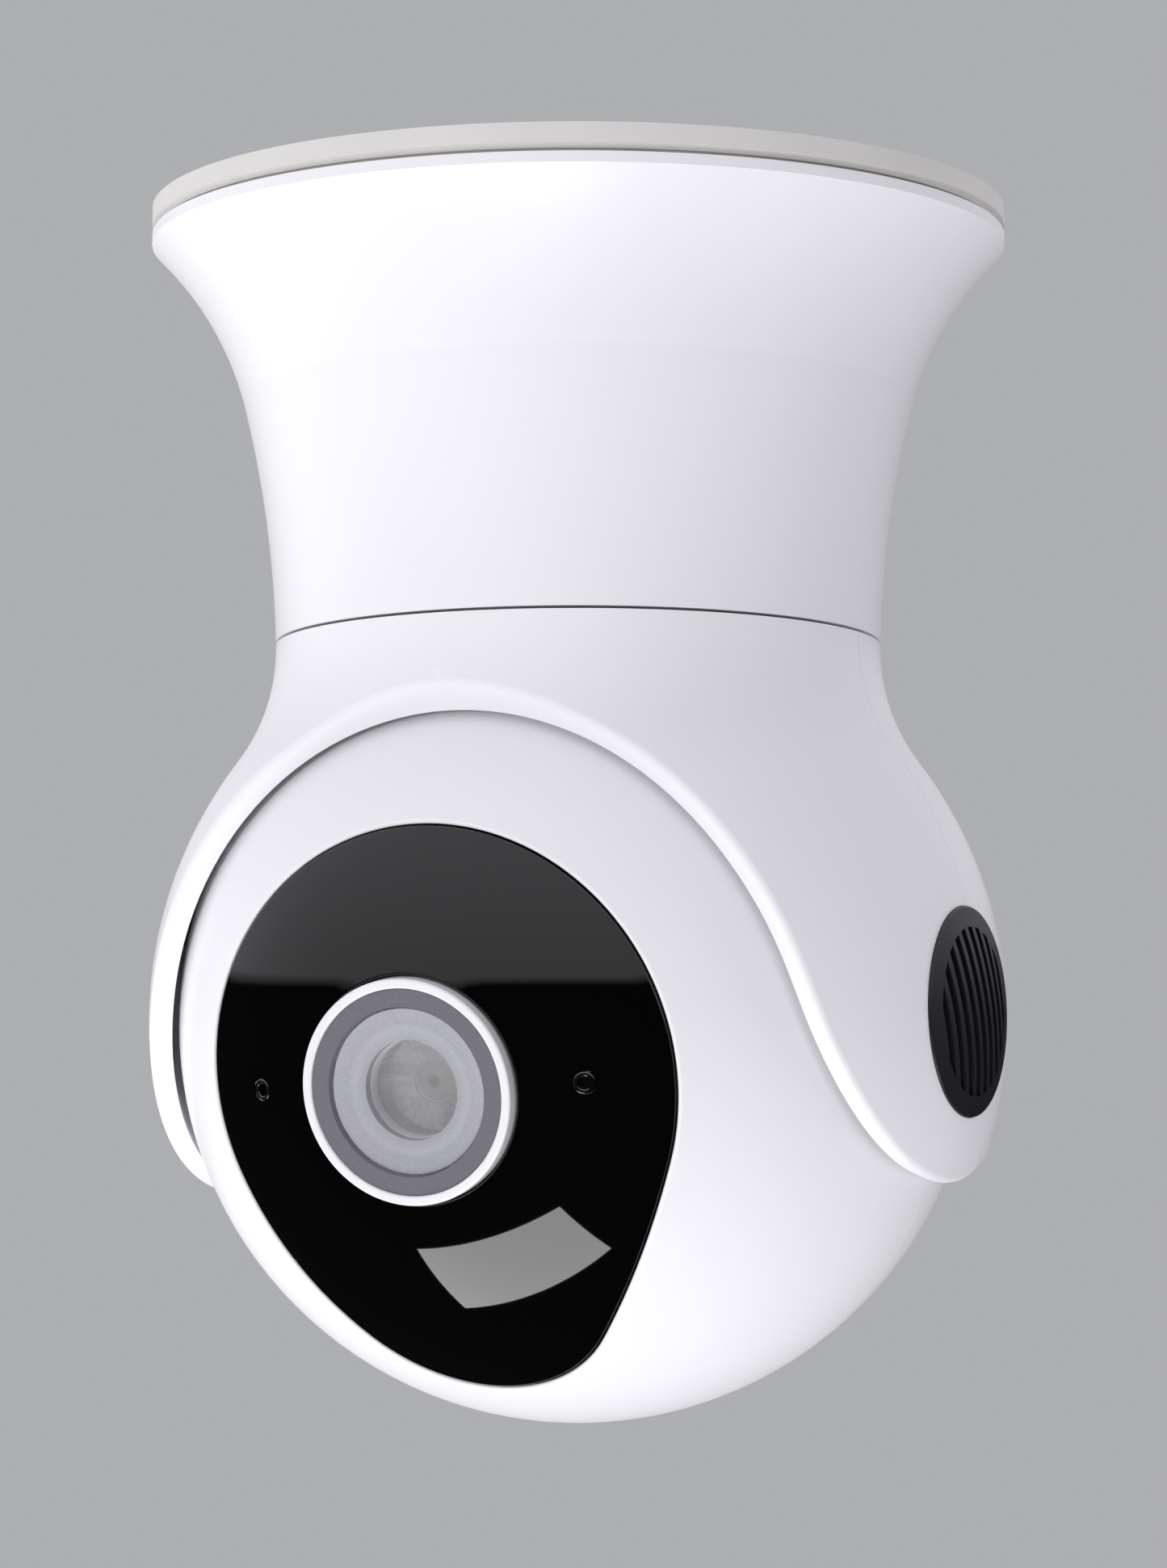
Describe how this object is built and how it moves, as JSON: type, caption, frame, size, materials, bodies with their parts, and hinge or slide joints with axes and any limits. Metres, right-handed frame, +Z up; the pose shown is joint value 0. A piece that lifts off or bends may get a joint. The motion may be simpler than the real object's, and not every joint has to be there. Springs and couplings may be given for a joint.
{
  "type": "pan and tilt security camera",
  "caption": "Ceiling-mounted pan and tilt security camera: flared base, turning hood with two ears, and a tilting ball with a dark teardrop window around the lens.",
  "frame": {"origin": "centre of the ceiling face of the mounting plate", "axes": "+Z up into the ceiling, the lens faces -Y at rest, the tilt axis runs along X and the speaker is on the +X ear"},
  "size_m": [0.09, 0.09, 0.1273],
  "materials": {
    "white_shell": "satin moulded plastic",
    "grey_plate": "warm grey moulded plastic",
    "dark_window": "polished, passes infrared",
    "white_ring": "polished",
    "clear_glass": "polished",
    "coated_lens": "coated",
    "shroud_grey": "fine matt",
    "black_plastic": "fine matt",
    "grille_grey": "satin",
    "rubber_part": "matt",
    "acetal": "natural acetal",
    "circuit_board": "solder mask",
    "black_board": "solder mask",
    "chip": "moulded",
    "steel": "zinc plated",
    "tin_can": "tinned",
    "spreader": "bare",
    "lamp_lens": "clear epoxy",
    "pipe": "clear acrylic",
    "filter": "coated",
    "sensor_face": "polished",
    "gold_card": "printed"
  },
  "bodies": {
    "mount": {"mounting_plate": "grey_plate", "mounting_seal": "rubber_part"},
    "base": {"base_housing": "white_shell", "base_cover": "white_shell", "base_cover_screws": "steel", "power_board": "circuit_board", "power_board_screws": "steel", "power_socket": "tin_can", "pan_cable": "rubber_part", "pan_bush": "acetal", "pan_motor": "tin_can", "pan_motor_screws": "steel"},
    "pan_drive": {"pan_motor_shaft": "steel", "pan_pinion": "acetal"},
    "head": {"turntable": "white_shell", "pan_gear": "acetal", "spindle_clip": "steel", "hood_front": "white_shell", "hood_rear": "white_shell", "hood_screws": "steel", "hood_screw_caps": "white_shell", "speaker": "black_plastic", "speaker_gasket": "rubber_part", "speaker_grille": "grille_grey", "tilt_axle": "acetal", "tilt_gear": "acetal", "axle_clip": "steel"},
    "ball": {"ball_front": "white_shell", "ball_rear": "white_shell", "ball_screws": "steel", "tilt_bushes": "acetal", "window": "dark_window", "lens_bezel": "white_ring", "cover_glass": "clear_glass", "lens_shroud": "shroud_grey", "lens_barrel": "black_plastic", "front_element": "coated_lens", "lens_holder": "black_plastic", "ir_filter": "filter", "image_sensor": "sensor_face", "led_board": "black_board", "infrared_lamps": "lamp_lens", "microphone": "tin_can", "microphone_boot": "rubber_part", "light_pipe": "pipe", "main_board": "circuit_board", "board_screws": "steel", "processor": "chip", "heat_spreader": "spreader", "wifi_module": "tin_can", "tilt_motor": "tin_can", "tilt_motor_screws": "steel", "card_socket": "tin_can", "card_board": "circuit_board", "reset_switch": "chip"},
    "tilt_drive": {"tilt_motor_shaft": "steel", "tilt_pinion": "acetal"},
    "card": {"memory_card": "gold_card"},
    "button": {"reset_button": "white_ring"}
  },
  "joints": [
    {"name": "bayonet_twist", "type": "hinge", "parent": "mount", "child": "base", "pos_m": [0, 0, -0.003], "axis": [0, 0, 1], "range_deg": [-30, 0]},
    {"name": "pan", "type": "hinge", "parent": "base", "child": "head", "pos_m": [0, 0, -0.046], "axis": [0, 0, 1], "range_deg": [-175, 175]},
    {"name": "pan_pinion_spin", "type": "hinge", "parent": "base", "child": "pan_drive", "pos_m": [0.018, 0, -0.034], "axis": [0, 0, 1], "range_deg": [-880, 880]},
    {"name": "tilt", "type": "hinge", "parent": "head", "child": "ball", "pos_m": [0, 0, -0.0857], "axis": [1, 0, 0], "range_deg": [-27.7, 77.3]},
    {"name": "tilt_pinion_spin", "type": "hinge", "parent": "ball", "child": "tilt_drive", "pos_m": [-0.0315, 0.01463, -0.0824], "axis": [1, 0, 0], "range_deg": [-112, 311]},
    {"name": "card_slide", "type": "slide", "parent": "ball", "child": "card", "axis": [0, 0.2198, -0.9755], "range_m": [0, 0.012]},
    {"name": "reset_press", "type": "slide", "parent": "ball", "child": "button", "axis": [0, -0.2198, 0.9755], "range_m": [0, 0.0005], "stiffness_N_per_m": 800}
  ],
  "couplings": [
    {"joint": "pan_pinion_spin", "follows": "pan", "ratio": -5},
    {"joint": "tilt_pinion_spin", "follows": "tilt", "ratio": 4}
  ]
}
